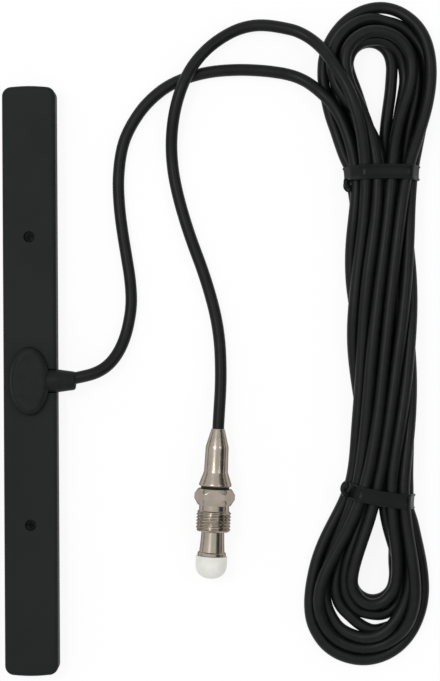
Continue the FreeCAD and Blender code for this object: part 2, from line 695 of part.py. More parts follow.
def main():
    hank = cable_hank()
    feed = feed_wire()
    pigtail = braid_pigtail()
    connector_end = [on_connector_axis(CABLE_GRIP), on_connector_axis(-CABLE_RUN_OUT)]
    antenna_lead = tube_along(ANTENNA_LEAD_ROUTE, CABLE_DIAMETER, "antenna lead")
    connector_lead = tube_along(connector_end + CONNECTOR_LEAD_ROUTE, CABLE_DIAMETER, "connector lead")
    nodes = {
        "front_cover": front_cover(),
        "base_plate": base_plate(),
        "adhesive_pad": adhesive_pad(),
        "antenna_board": antenna_board(),
        "upper_dipole_arm": dipole_arm(1),
        "lower_dipole_arm": dipole_arm(-1),
        "cover_screws": cover_screws(),
        "cable_grommet": cable_grommet(),
        "feed_wire": feed,
        "cable_dielectric": cable_dielectric(),
        "braid_pigtail": pigtail,
        "solder_joints": solder_joints((feed, pigtail)),
        "antenna_lead": antenna_lead.cut(hank),
        "cable_hank": hank,
        "connector_lead": connector_lead.cut(hank),
        "upper_tie": tie(UPPER_TIE_Y, UPPER_TIE_SKEW),
        "lower_tie": tie(LOWER_TIE_Y, LOWER_TIE_SKEW),
        "crimp_ferrule": crimp_ferrule(),
        "connector_body": connector_body(),
        "connector_insulator": connector_insulator(),
        "centre_socket": centre_socket(),
        "dust_cap": dust_cap(),
    }
    os.makedirs("parts", exist_ok=True)
    for name, shape in nodes.items():
        shape.exportStep(f"parts/{name}.step")
        print(f"{name}: {len(shape.Solids)} solid(s), {shape.Volume:.1f} mm3, valid {shape.isValid()}")


main()
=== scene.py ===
# %% [markdown]
# # Stick-on window antenna
# The part is a slim black strip that is stuck to a pane, a thin coaxial cable that is wound into a
# tied hank, and a nickel-plated screw connector with a white cap. The solids come from the packed
# model, at their real size. Blender adds what CAD leaves plain: the strands of the hank, the ties,
# the thread and every finish.

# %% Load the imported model
import math

import bpy
import numpy as np
from mathutils import Matrix, Vector


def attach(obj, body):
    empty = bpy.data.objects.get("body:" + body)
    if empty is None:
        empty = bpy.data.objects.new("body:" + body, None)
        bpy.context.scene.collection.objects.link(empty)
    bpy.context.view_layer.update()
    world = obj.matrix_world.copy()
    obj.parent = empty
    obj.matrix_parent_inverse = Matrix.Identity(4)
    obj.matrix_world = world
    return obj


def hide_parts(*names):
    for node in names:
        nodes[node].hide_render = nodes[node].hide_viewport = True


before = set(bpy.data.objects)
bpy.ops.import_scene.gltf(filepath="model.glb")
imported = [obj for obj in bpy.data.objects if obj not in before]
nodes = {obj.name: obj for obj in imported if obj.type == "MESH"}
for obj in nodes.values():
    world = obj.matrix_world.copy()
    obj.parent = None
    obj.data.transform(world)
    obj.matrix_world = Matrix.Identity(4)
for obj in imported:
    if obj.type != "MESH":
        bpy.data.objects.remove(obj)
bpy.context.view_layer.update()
scene = bpy.context.scene
scene.view_settings.view_transform = "Standard"
MM = 0.001
print("solids:", ", ".join(sorted(nodes)))

# %% [markdown]
# ## Camera
# The photograph looks straight down from about forearm's length, so the sides of the strip show
# only as thin edges. One pixel is 0.235 mm on the table, which sets the focal length, and the
# strip leans by a third of a degree, which is the camera's roll. Setting the lens from that scale,
# rather than by eye, keeps every point read off the photograph true in millimetres.

# %% Camera over the table
IMAGE_HEIGHT_PX = 681
PIXEL = 0.235 * MM
CAMERA_HEIGHT = 0.42
VIEW_MIDDLE = (44.11 * MM, 9.15 * MM)
ROLL = -0.0056
SENSOR = 24.0

camera_data = bpy.data.cameras.new("table_camera")
camera_data.sensor_fit = "VERTICAL"
camera_data.sensor_height = SENSOR
camera_data.lens = SENSOR * CAMERA_HEIGHT / (IMAGE_HEIGHT_PX * PIXEL)
camera = bpy.data.objects.new("table_camera", camera_data)
camera.location = (*VIEW_MIDDLE, CAMERA_HEIGHT)
camera.rotation_euler = (0, 0, ROLL)
scene.collection.objects.link(camera)
scene.camera = camera
print(f"lens {camera_data.lens:.1f} mm for a frame {IMAGE_HEIGHT_PX * PIXEL / MM:.0f} mm tall")

# %% [markdown]
# ## The two loose leads
# The cable is one piece from the strip to the connector, so it is one curve. Its two leads are
# drawn through a few points, in millimetres, as they lie on the table: out of the boot,
# down, and along the surface in easy bends. The connector lead lies over the antenna lead where
# they cross and rises again to the top of the hank, because it was wound last. Where the leads
# join the hank they start high above it, and the settling further down lets them sink.

# %% Points of the leads
CABLE_DIAMETER = 2.8
CABLE_RADIUS = CABLE_DIAMETER / 2

ANTENNA_LEAD = [
    (7.2, 0.2, 5.2), (9.0, 0.35, 5.2), (12.0, 0.9, 5.2), (15.2, 1.7, 4.8), (17.9, 3.3, 4.0),
    (20.0, 5.8, 3.0), (21.6, 9.0, 2.1), (22.7, 12.8, 1.5), (23.5, 17.8, 1.42),
    (23.2, 23.4, 1.42), (22.3, 29.1, 1.42), (21.4, 34.7, 1.42), (20.7, 40.4, 1.42),
    (20.4, 47.4, 1.42), (21.4, 54.9, 1.42), (23.7, 60.0, 1.42), (27.3, 65.0, 1.42),
    (32.9, 69.5, 1.42), (40.8, 72.0, 1.42), (48.2, 72.6, 1.42), (54.6, 72.3, 1.42),
    (58.6, 71.7, 1.6), (61.8, 71.0, 7.0), (65.3, 69.4, 15.0), (68.9, 66.6, 18.0),
    (71.3, 63.2, 15.0),
]
CONNECTOR_LEAD = [
    (78.1, 54.5, 8.0), (77.3, 59.0, 11.0), (75.7, 63.2, 15.0), (74.3, 68.0, 18.0),
    (72.5, 71.8, 19.0), (70.4, 75.0, 19.0), (66.7, 78.2, 14.0), (63.1, 80.7, 6.0),
    (59.4, 82.3, 3.2), (54.4, 83.0, 2.4), (49.2, 82.2, 2.2), (44.5, 79.7, 2.6),
    (40.4, 76.2, 3.6), (37.0, 71.6, 4.4), (34.6, 65.8, 4.4), (33.2, 59.4, 3.2),
    (32.9, 52.6, 1.7), (33.9, 45.0, 1.42), (36.8, 34.6, 1.42), (41.0, 23.4, 1.42),
    (43.9, 12.1, 1.5), (44.4, 0.9, 2.7), (43.68, -9.4, 4.1), (43.33, -15.39, 4.1),
]
print(f"{len(ANTENNA_LEAD)} points to the hank, {len(CONNECTOR_LEAD)} from it to the connector")

# %% [markdown]
# ## The bundle at a tie
# Seven turns put fourteen strands through the waist of the hank. Under a tie they pack like
# stacked pipes: five on the table, five in the hollows between them and four on top. Each place
# is given as columns from the middle and a row. Eleven of the places go round the outside. The
# bundle is slightly twisted, so from the upper tie to the lower one each outer strand moves on by
# three places, and the three inner ones stay. A table of places is easier to check against the
# photograph than strands scattered at random would be.

# %% Places in the bundle
ROW_RISE = math.sqrt(3) / 2 * CABLE_DIAMETER
PLACES = {
    "top_1": (-1.25, 2), "top_2": (-0.25, 2), "top_3": (0.75, 2), "top_4": (1.75, 2),
    "mid_1": (-1.75, 1), "mid_2": (-0.75, 1), "mid_3": (0.25, 1), "mid_4": (1.25, 1),
    "mid_5": (2.25, 1),
    "low_1": (-2.25, 0), "low_2": (-1.25, 0), "low_3": (-0.25, 0), "low_4": (0.75, 0),
    "low_5": (1.75, 0),
}
OUTSIDE = [
    "top_4", "top_3", "top_2", "top_1", "mid_1", "low_1", "low_2", "low_3", "low_4", "low_5",
    "mid_5",
]
TWIST = 3


def moved_on(place, steps):
    """Place that a strand reaches when the outside of the bundle turns by some steps."""
    if place not in OUTSIDE:
        return place
    return OUTSIDE[(OUTSIDE.index(place) + steps) % len(OUTSIDE)]


def column_and_height(place, steps):
    """Columns from the middle and height of a strand, part of the way to its next places."""
    whole = math.floor(steps)
    here = PLACES[moved_on(place, whole)]
    onward = PLACES[moved_on(place, whole + 1)]
    part = steps - whole
    column = here[0] + (onward[0] - here[0]) * part
    row = here[1] + (onward[1] - here[1]) * part
    return column, CABLE_RADIUS + row * ROW_RISE


print(f"strands in the waist: {len(PLACES)}, {len(OUTSIDE)} of them on the outside")

# %% [markdown]
# ## The waist
# Between the ties the strands run side by side and swell a little above the middle. The line of
# the waist and its spread are read off the photograph at ten places. The outer columns take most
# of the spread, since the inner strands hold each other in place. The twist is half an even turn
# and half one that starts and ends gently, as a bundle in the hands turns.

# %% Strands between the ties
UPPER_TIE_Y = 48.0
LOWER_TIE_Y = -27.0
WAIST_Y = [-27.0, -22.0, -16.0, -10.0, -4.6, 6.7, 18.0, 29.3, 43.4, 48.0]
WAIST_MIDDLE = [80.7, 81.5, 82.2, 82.4, 82.3, 82.0, 81.6, 81.6, 81.9, 82.0]
WAIST_SPREAD = [0.94, 0.98, 0.96, 0.97, 0.98, 1.02, 1.15, 1.16, 1.03, 0.94]
FULL_SPREAD = 3
WAIST_POINTS = 25


def waist_strand(place):
    """Points of a strand from its place at the upper tie down to the lower tie."""
    points = []
    for share in np.linspace(0, 1, WAIST_POINTS):
        eased = share * (share * (3 - 2 * share) + 1) / 2
        column, height = column_and_height(place, TWIST * eased if place in OUTSIDE else 0)
        y = UPPER_TIE_Y + (LOWER_TIE_Y - UPPER_TIE_Y) * share
        middle = np.interp(y, WAIST_Y, WAIST_MIDDLE)
        spread = np.interp(y, WAIST_Y, WAIST_SPREAD)
        reach = column * CABLE_DIAMETER * (1 + (spread - 1) * column**2 / FULL_SPREAD)
        points.append((middle + reach, y, height))
    return points


print("points in each strand of the waist:", WAIST_POINTS)

# %% [markdown]
# ## Loops at the two ends
# Above the upper tie and below the lower one, every strand goes round a loop and comes back on
# the other side. A loop is set by four small numbers: how far out it lies on its left, at its far
# end and on its right, from 0 beside the open middle to 1 at the outer edge, and how many loops
# lie under it. Just beyond the tie, each strand has an x of its own where it parts from the
# others. The upper loops have flatter shoulders beside their far end. All of this was read off
# the photograph, which shows some loops apart and some stacked; a plain stack of equal loops
# would lose that.

# %% Loops, and where the strands part
UPPER_END = {
    "loops": {
        ("low_1", "top_4"): (1.07, 1.17, 0.87, 4),
        ("low_3", "low_4"): (0.33, 0.12, -0.04, 1),
        ("top_2", "top_3"): (0.52, 0.26, 0.56, 5),
        ("mid_2", "mid_4"): (0.06, 0.06, 0.40, 2),
        ("mid_3", "mid_5"): (1.04, 0.76, 0.90, 3),
        ("low_2", "low_5"): (1.06, 0.52, 0.64, 0),
    },
    "left": ("top_1", "top_2", "mid_1", "mid_2", "mid_3", "low_1", "low_2", "low_3"),
    "inner_middle": (79.5, 73.7), "inner_radius": 5.6,
    "outer_middle": (82.2, 74.4), "outer_radius": 12.7,
    "shoulder": 0.2, "upward": 1,
    "parting_y": 60.2,
    "parting_x": {
        "low_1": 71.1, "low_2": 73.8, "low_3": 77.6, "low_4": 82.8, "low_5": 89.6,
        "mid_1": 72.7, "mid_2": 76.4, "mid_3": 79.7, "mid_4": 84.9, "mid_5": 91.2,
        "top_2": 78.4, "top_3": 85.0, "top_4": 92.6,
    },
}
LOWER_END = {
    "loops": {
        ("low_3", "low_4"): (-0.04, -0.04, 0.05, 0),
        ("top_1", "top_4"): (0.84, 0.84, 0.66, 6),
        ("low_1", "mid_5"): (1.02, 1.01, 1.00, 2),
        ("mid_1", "mid_4"): (0.74, 0.63, 0.50, 4),
        ("mid_2", "mid_3"): (0.25, 0.29, 0.48, 3),
        ("top_2", "top_3"): (0.06, 0.13, 0.05, 5),
        ("low_2", "low_5"): (0.43, 0.43, 0.80, 1),
    },
    "left": ("top_1", "top_2", "mid_1", "mid_2", "low_1", "low_2", "low_3"),
    "inner_middle": (79.6, -46.9), "inner_radius": 5.6,
    "outer_middle": (77.7, -53.2), "outer_radius": 12.9,
    "shoulder": 0, "upward": -1,
    "parting_y": -32.9,
    "parting_x": {
        "low_1": 72.3, "low_2": 75.0, "low_3": 78.8, "low_4": 83.6, "low_5": 87.5,
        "mid_1": 73.6, "mid_2": 77.1, "mid_3": 82.2, "mid_4": 85.6, "mid_5": 89.1,
        "top_1": 74.8, "top_2": 78.8, "top_3": 83.6, "top_4": 87.5,
    },
}
print("loops:", len(UPPER_END["loops"]), "upper,", len(LOWER_END["loops"]), "lower")

# %% [markdown]
# ## Walk along the cable
# A walk follows the cable as hands wound it: down the waist, round a lower loop, up, round an
# upper loop, until it reaches the last place. Since every step knows where it comes out, the
# result is one line without a break.

# %% From the first place to the last
FIRST_PLACE, LAST_PLACE = "mid_1", "top_1"
FAR_END = 90
LOOP_SWEEP = 230
LOOP_POINTS = 17
LOOP_LIFT = 2.9
SIDE_EASE = 1.5


def parting(end, place):
    """Where a strand leaves the others just beyond a tie."""
    return (end["parting_x"][place], end["parting_y"], CABLE_RADIUS + PLACES[place][1] * ROW_RISE)


def between(inner, outer, lane):
    """Value between the inner loop and the outer one."""
    return inner + (outer - inner) * lane


def end_loop(end, left, far, right, level):
    """Points round a loop from its left side to its right one."""
    points = []
    angles = np.linspace(FAR_END + LOOP_SWEEP / 2, FAR_END - LOOP_SWEEP / 2, LOOP_POINTS)
    for angle in np.radians(angles):
        side = math.cos(angle)
        lane = far + (left - far) * max(0, -side) ** SIDE_EASE
        lane += (right - far) * max(0, side) ** SIDE_EASE
        radius = between(end["inner_radius"], end["outer_radius"], lane)
        radius *= 1 - end["shoulder"] * max(0, abs(side) * math.sin(angle))
        x = between(end["inner_middle"][0], end["outer_middle"][0], lane)
        y = between(end["inner_middle"][1], end["outer_middle"][1], lane)
        points.append((
            x + radius * side,
            y + end["upward"] * radius * math.sin(angle),
            CABLE_RADIUS + level * LOOP_LIFT,
        ))
    return points


def round_loop(end, place):
    """Points from a place out round its loop and back, and the place where it comes back."""
    ends = next(pair for pair in end["loops"] if place in pair)
    back = ends[1] if place == ends[0] else ends[0]
    points = end_loop(end, *end["loops"][ends])
    if place not in end["left"]:
        points.reverse()
    return [parting(end, place), *points, parting(end, back)], back


def winding():
    """Points of the whole hank, from where the antenna lead enters to where the other leaves."""
    place = FIRST_PLACE
    points = [parting(UPPER_END, place)]
    while True:
        points += waist_strand(place)
        loop, back = round_loop(LOWER_END, moved_on(place, TWIST))
        points += loop
        place = moved_on(back, -TWIST)
        points += waist_strand(place)[::-1]
        if place == LAST_PLACE:
            return points
        loop, place = round_loop(UPPER_END, place)
        points += loop


plan = ANTENNA_LEAD + winding() + CONNECTOR_LEAD
print("points in the plan:", len(plan))

# %% [markdown]
# ## Even points along the plan
# The settling that follows needs points at an even spacing. Blender's own NURBS curve draws the
# smooth line of the plan, and its vertices are measured off at the spacing wanted.

# %% Points at an even spacing
SPACING = 1.7


def nurbs_curve(name, points):
    """Curve through one smooth NURBS spline with these control points in millimetres."""
    data = bpy.data.curves.new(name, "CURVE")
    data.dimensions = "3D"
    spline = data.splines.new("NURBS")
    spline.points.add(len(points) - 1)
    for control, (x, y, z) in zip(spline.points, points):
        control.co = (x * MM, y * MM, z * MM, 1)
        control.radius = CABLE_RADIUS * MM
    spline.order_u = 3
    spline.use_endpoint_u = True
    return data


def even_points(points, spacing):
    """Points at an even spacing along the smooth line of some control points."""
    draft = bpy.data.objects.new("draft", nurbs_curve("draft", points))
    scene.collection.objects.link(draft)
    line = bpy.data.meshes.new_from_object(draft)
    places = np.array([vertex.co for vertex in line.vertices]) / MM
    bpy.data.objects.remove(draft)
    bpy.data.meshes.remove(line)
    run = np.r_[0, np.cumsum(np.linalg.norm(np.diff(places, axis=0), axis=1))]
    wanted = np.linspace(0, run[-1], int(run[-1] / spacing))
    return np.stack([np.interp(wanted, run, places[:, axis]) for axis in range(3)], axis=1)


planned = even_points(plan, SPACING)
print("even points:", len(planned))

# %% [markdown]
# ## Settling the hank
# In the plan the loops still float above each other, so that none cuts through another. A short
# simulation lets them down: each step pulls the strands down, straightens them like a springy
# cable, keeps their length, pushes apart what touches, and keeps everything above the table, in
# the ties and off a few upright pegs. The two thick pegs leave the open middles of the hank, and
# the thin ones hold open the slits between its loops. Blender's cloth and rigid bodies don't
# handle a cable that touches itself, and a few lines of numpy do.

# %% What acts on the strands
SPRING_REACHES = (1, 2, 4)
SPRING = 0.3
SLIP_PARTS = 4
NEARBY = 1.6 * CABLE_DIAMETER
PUSH = 1.2
TINY = 1e-9
PEGS = (
    (79.5, 73.7, 3.9), (86.4, 68.6, 0.42), (86.3, 70.4, 0.3), (84.4, 84.3, 0.5),
    (79.6, -46.7, 3.9), (72.0, -56.0, 0.55), (73.0, -57.0, 0.5), (79.2, -57.1, 0.6),
)


def straighten(points):
    """Pull each point towards the smooth line through its neighbours, near and further off."""
    for reach in SPRING_REACHES:
        near = points[reach:-3 * reach] + points[3 * reach:-reach]
        wide = points[:-4 * reach] + points[4 * reach:]
        smooth = (4 * near - wide) / 6
        points[2 * reach:-2 * reach] += SPRING * (smooth - points[2 * reach:-2 * reach])


def keep_lengths(points, runs):
    """Slide neighbours along the cable towards the runs that belong between them."""
    run = np.diff(points, axis=0)
    length = np.linalg.norm(run, axis=1)
    slip = run * ((length - runs) / length / SLIP_PARTS)[:, None]
    points[:-1] += slip
    points[1:] -= slip


def near_pairs(points):
    """Pairs of points that lie close together but well apart along the cable."""
    gap = np.sum((points[:, None, :] - points[None, :, :]) ** 2, axis=2)
    return np.nonzero(np.triu(gap < NEARBY**2, math.ceil(NEARBY / SPACING)))


def push_apart(points, one, two):
    """Part the pairs of points at which the cable would cut into itself."""
    offset = points[one] - points[two]
    distance = np.linalg.norm(offset, axis=1) + TINY
    touching = distance < CABLE_DIAMETER
    push = offset / distance[:, None] * ((CABLE_DIAMETER - distance) / 2)[:, None]
    moves = np.zeros_like(points)
    contacts = np.ones(len(points))
    for side, sign in ((one, 1), (two, -1)):
        np.add.at(moves, side[touching], sign * push[touching])
        np.add.at(contacts, side[touching], 1)
    points += PUSH * moves / np.maximum(contacts - 1, 1)[:, None]


def keep_off_pegs(points):
    """Move points sideways out of the upright pegs."""
    for peg_x, peg_y, peg_radius in PEGS:
        away = points[:, :2] - (peg_x, peg_y)
        distance = np.linalg.norm(away, axis=1)
        short = np.maximum(peg_radius + CABLE_RADIUS - distance, 0)
        points[:, :2] += away * (short / distance)[:, None]


print("pegs:", len(PEGS))

# %% [markdown]
# ## Room in the ties
# A tie passes over the bundle in a gentle bow, not quite square to it. Under it lies the ribbon's
# own thickness, and its two sides hold the strands together.

# %% Lines of the ties
UPPER_TIE = {"middle": 82.0, "reach": 9.1, "y": (47.6, 48.0, 47.75)}
LOWER_TIE = {"middle": 80.9, "reach": 8.6, "y": (-25.4, -27.5, -28.5)}
TIE_THICKNESS = 0.66
TIE_WIDTH = 3.5
HANK_EDGE_X = 59.0


def tie_y(tie, x):
    """Where a tie passes over the bundle: a bow through its left end, middle and right end."""
    left, middle, right = tie["y"]
    share = (x - tie["middle"]) / tie["reach"]
    return middle + (right - left) / 2 * share + ((left + right) / 2 - middle) * share**2


def room_in_ties(points):
    """Lowest height of each point, and which points each tie holds between which sides."""
    lowest = np.full(len(points), CABLE_RADIUS)
    in_hank = points[:, 0] > HANK_EDGE_X
    held = []
    for tie in (UPPER_TIE, LOWER_TIE):
        beside = points[:, 1] - tie_y(tie, points[:, 0])
        lowest += TIE_THICKNESS * in_hank * np.exp(-(beside / TIE_WIDTH) ** 2)
        room = tie["reach"] - TIE_THICKNESS - CABLE_RADIUS
        under = np.nonzero(in_hank & (np.abs(beside) < TIE_WIDTH / 2))[0]
        held.append((under, tie["middle"] - room, tie["middle"] + room))
    return lowest, held


lowest, held = room_in_ties(planned)
print("points in the ties:", [len(under) for under, _, _ in held])

# %% Let the turns sink onto each other
# Sideways, the loops are drawn back to the plan most strongly. In height, only the strands near
# the ties are, and the loops sink freely. Halfway between the ties the strands find their own lie.
# A strand counts as in the waist by three quarters at a tie, and that fades out over 8 mm.
STEPS = 300
PASSES = 2
LOOK_EVERY = 5
SLACK = 1.003
SINK, SINK_IN_WAIST = 0.06, 0.01
HOLD, LESS_IN_WAIST, LESS_HALFWAY = 0.10, 0.04, 0.05
LIFT_IN_WAIST = 0.06
TIE_FADE, AT_TIE = 8, 0.75


def settle():
    """Sunk positions of the planned points; those left of the hank stay where they are."""
    points = planned.copy()
    level_runs = np.linalg.norm(np.diff(planned[:, :2], axis=0), axis=1) * SLACK
    fixed = planned[:, 0] < HANK_EDGE_X
    y = planned[:, 1]
    from_ties = np.minimum(UPPER_TIE_Y - y, y - LOWER_TIE_Y)
    in_waist = np.clip(from_ties / TIE_FADE + AT_TIE, 0, 1)
    halfway_y = (UPPER_TIE_Y + LOWER_TIE_Y) / 2
    near_halfway = np.clip(1 - np.abs(y - halfway_y) / (UPPER_TIE_Y - halfway_y), 0, 1)
    halfway = in_waist * near_halfway
    hold = (HOLD - LESS_IN_WAIST * in_waist - LESS_HALFWAY * halfway)[:, None]
    lift = LIFT_IN_WAIST * in_waist - LESS_HALFWAY * halfway
    sink = SINK * (1 - in_waist) + SINK_IN_WAIST * in_waist
    for step in range(STEPS):
        points[:, 2] -= sink
        points[:, :2] += (planned[:, :2] - points[:, :2]) * hold
        points[:, 2] += (planned[:, 2] - points[:, 2]) * lift
        straighten(points)
        for _ in range(PASSES):
            keep_lengths(points, level_runs)
        if step % LOOK_EVERY == 0:
            one, two = near_pairs(points)
        for _ in range(PASSES):
            push_apart(points, one, two)
        keep_off_pegs(points)
        for under, left, right in held:
            points[under, 0] = np.clip(points[under, 0], left, right)
        points[:, 2] = np.maximum(points[:, 2], lowest)
        points[fixed] = planned[fixed]
    return points


settled = settle()
strands = settled[settled[:, 0] >= HANK_EDGE_X]
print(f"hank of {len(strands) * SPACING / 1000:.2f} m of cable,",
      f"{strands[:, 2].max() + CABLE_RADIUS:.1f} mm high")

# %% [markdown]
# ## The cable itself
# The final curve has the listed points of the leads and, between them, every second settled
# point of the hank. A round bevel makes it a cable. A swept mesh would look the same, but a curve
# stays one smooth line that can be laid out again. Blender measures a curve's box by the radius of
# its points, so the points carry half the diameter and the bevel is 1.

# %% One curve from the boot to the connector
CURVE_STEPS = 6
ROUND_STEPS = 5
route = [point for point in ANTENNA_LEAD if point[0] < HANK_EDGE_X]
route += [tuple(point) for point in strands[::2]]
route += [point for point in CONNECTOR_LEAD if point[0] < HANK_EDGE_X]
cable_data = nurbs_curve("coaxial_cable", route)
cable_data.splines[0].resolution_u = CURVE_STEPS
cable_data.bevel_depth = 1
cable_data.bevel_resolution = ROUND_STEPS
cable_data.use_fill_caps = True
cable = bpy.data.objects.new("coaxial_cable", cable_data)
scene.collection.objects.link(cable)
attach(cable, "root")
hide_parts("antenna_lead", "cable_hank", "connector_lead")
print("control points of the cable:", len(route))

# %% [markdown]
# ## Ties
# A flat plastic ribbon with a wire in each edge holds the bundle at either end of the waist. It is
# pulled tight, so its line is the shortest one round all fourteen strands: the convex outline of
# their discs, cut where the strands really pass. A cloth simulation would end at the same line, at
# far greater length. The ribbon's section, with a bead over each wire, is then swept along it.

# %% Line of a tie round its strands
from mathutils.geometry import convex_hull_2d

RIM_POINTS = 48
ROUND_TIE = 140


def tie_outline(tie):
    """Inner line of a tie as x and height, and how many strands it holds."""
    offset = settled[:, 1] - tie_y(tie, settled[:, 0])
    crosses = (offset[:-1] * offset[1:] <= 0) & (settled[:-1, 0] > HANK_EDGE_X)
    cut = np.nonzero(crosses)[0]
    share = (offset[cut] / (offset[cut] - offset[cut + 1]))[:, None]
    through = settled[cut] + (settled[cut + 1] - settled[cut]) * share
    ring = np.linspace(0, 2 * math.pi, RIM_POINTS, endpoint=False)
    rim = np.concatenate([x + 1j * z + CABLE_RADIUS * np.exp(1j * ring) for x, y, z in through])
    line = rim[convex_hull_2d([(point.real, point.imag) for point in rim])]
    line = np.r_[line, line[0]]
    run = np.r_[0, np.cumsum(np.abs(np.diff(line)))]
    even = np.linspace(0, run[-1], ROUND_TIE, endpoint=False)
    return np.interp(even, run, line.real) + 1j * np.interp(even, run, line.imag), len(cut)


for tie in (UPPER_TIE, LOWER_TIE):
    outline, strands_held = tie_outline(tie)
    print(f"{strands_held} strands, x {outline.real.min():.1f} to {outline.real.max():.1f},",
          f"height {outline.imag.min():.2f} to {outline.imag.max():.2f}")


# %% Swept meshes that ride on the part
def swept_mesh(name, sections, closed):
    """Mesh whose faces join one ring of points to the next, with caps where the sweep is open."""
    count = len(sections[0])
    vertices = [tuple(point) for section in sections for point in section]
    faces = []
    for row in range(len(sections) if closed else len(sections) - 1):
        this, following = row * count, (row + 1) % len(sections) * count
        faces += [
            (this + i, this + (i + 1) % count, following + (i + 1) % count, following + i)
            for i in range(count)
        ]
    if not closed:
        faces.append(tuple(range(count))[::-1])
        faces.append(tuple(range((len(sections) - 1) * count, len(sections) * count)))
    mesh = bpy.data.meshes.new(name)
    mesh.from_pydata(vertices, [], faces)
    mesh.shade_smooth()
    return mesh


def new_piece(name, mesh, material_slot, *stands_for):
    """Object of a mesh that rides on the part and stands for some of its solids."""
    piece = bpy.data.objects.new(name, mesh)
    scene.collection.objects.link(piece)
    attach(piece, "root")
    if stands_for:
        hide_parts(*stands_for)
    print(f"{name}: {len(mesh.polygons)} faces")
    return piece


print("helpers:", swept_mesh.__name__, new_piece.__name__)

# %% Ribbons
HALF_TIE = TIE_WIDTH / 2
RIBBON_CREASE = math.radians(50)
BEADED_EDGE = [
    (0.1, 0.0), (0.0, 0.12), (0.02, 0.3), (0.13, 0.45), (0.3, 0.51), (0.47, 0.45), (0.66, 0.3),
    (1.35, 0.26),
]
RIBBON_SECTION = [(inset - HALF_TIE, rise) for inset, rise in BEADED_EDGE]
RIBBON_SECTION += [(HALF_TIE - inset, rise) for inset, rise in reversed(BEADED_EDGE)]


def ribbon_tie(name, tie, solid):
    """Tie as a ribbon swept round its outline, and the x of its left side."""
    line, _ = tie_outline(tie)
    tangent = np.roll(line, -1) - np.roll(line, 1)
    outward = -1j * tangent / np.abs(tangent)
    sections = []
    for inner, out in zip(line, outward):
        slope = tie_y(tie, inner.real + 0.5) - tie_y(tie, inner.real - 0.5)
        section = []
        for sideways, rise in RIBBON_SECTION:
            place = inner + out * rise
            x = place.real - slope * sideways
            section.append((x * MM, (tie_y(tie, place.real) + sideways) * MM, place.imag * MM))
        sections.append(section)
    mesh = swept_mesh(name, sections, True)
    mesh.set_sharp_from_angle(angle=RIBBON_CREASE)
    return new_piece(name, mesh, "tie_plastic", solid), line.real.min()


upper_ribbon, upper_left = ribbon_tie("upper_ribbon_tie", UPPER_TIE, "upper_tie")
lower_ribbon, lower_left = ribbon_tie("lower_ribbon_tie", LOWER_TIE, "lower_tie")

# %% [markdown]
# ## Twisted ends
# Each tie is closed by twisting its two ends together. The short twist is bent over and pressed
# against the left of the bundle. Two round ribbon ends side by side have an outline with two
# lobes, so one swept section whose lobes turn along the line gives the twist.

# %% Twisted ends of the ties
UPPER_BENDS = [(0.5, 46.4, 5.0), (-0.1, 45.6, 4.8), (0.2, 44.6, 4.5), (1.2, 43.8, 4.3)]
LOWER_BENDS = [(1.0, -27.2, 4.6), (-0.2, -26.8, 4.8), (-0.5, -25.2, 5.0), (0.6, -23.9, 5.2)]
TWIST_STEP = 0.1
TWIST_TURNS = 0.7
TWIST_RADIUS, TWIST_LOBE = 0.76, 0.16
TWIST_SIDES = 20
BLUNT_TIP, BLUNT_GROWTH = 0.35, 6


def twisted_ends(name, left, bends):
    """Short twist of two round ribbon ends along a bent line beside the bundle."""
    line = even_points([(left + x, y, z) for x, y, z in bends], TWIST_STEP)
    sections = []
    for station, (point, along) in enumerate(zip(line, np.gradient(line, axis=0))):
        share = station / (len(line) - 1)
        frame_x = np.cross(along, (0, 0, 1))
        frame_x /= np.linalg.norm(frame_x)
        frame_z = np.cross(frame_x, along / np.linalg.norm(along))
        blunt = min(1, BLUNT_TIP + BLUNT_GROWTH * share, BLUNT_TIP + BLUNT_GROWTH * (1 - share))
        section = []
        for angle in np.linspace(0, 2 * math.pi, TWIST_SIDES, endpoint=False):
            lobe = math.cos(2 * (angle - 2 * math.pi * TWIST_TURNS * share))
            reach = blunt * (TWIST_RADIUS + TWIST_LOBE * lobe)
            outward = math.cos(angle) * frame_x + math.sin(angle) * frame_z
            section.append((point + reach * outward) * MM)
        sections.append(section)
    return new_piece(name, swept_mesh(name, sections, False), "tie_plastic")


upper_twist = twisted_ends("upper_twisted_ends", upper_left, UPPER_BENDS)
lower_twist = twisted_ends("lower_twisted_ends", lower_left, LOWER_BENDS)

# %% [markdown]
# ## Turned connector
# The connector is turned from hexagon bar: a groove, a spanner hexagon with bevelled corners, a
# collar, a fine thread, a waisted neck and the nose under the cap. A Screw modifier could turn the
# round lengths, and booleans could cut the rest. A grid of rings round the axis gives all of it in
# one clean mesh, because each ring's radius may depend on the angle: the smaller of a circle and a
# hexagon makes the bevelled spanner flats, and a radius that follows the angle makes the thread.

# %% Rings round the connector's axis
CONNECTOR_START = Vector((43.56, -11.4, 4.1))
CONNECTOR_ALONG = Vector((-0.0566925, -0.9983917, 0))
CONNECTOR_SIDE = Vector((0.9983917, -0.0566925, 0))
SIDES = 96
TURNED_CREASE = math.radians(28)


def turned_mesh(name, profile, radius_at):
    """Closed mesh of rings at the profile's stations; radius_at bends a ring's radius by angle."""
    rings = []
    for station, radius in profile:
        ring = []
        for step in range(SIDES):
            angle = 2 * math.pi * step / SIDES
            reach = radius_at(station, radius, angle)
            sideways = CONNECTOR_SIDE * (reach * math.cos(angle))
            point = CONNECTOR_START + CONNECTOR_ALONG * station + sideways
            point.z += reach * math.sin(angle)
            ring.append(point * MM)
        rings.append(ring)
    mesh = swept_mesh(name, rings, True)
    mesh.set_sharp_from_angle(angle=TURNED_CREASE)
    return mesh


print(f"rings of {SIDES} points")

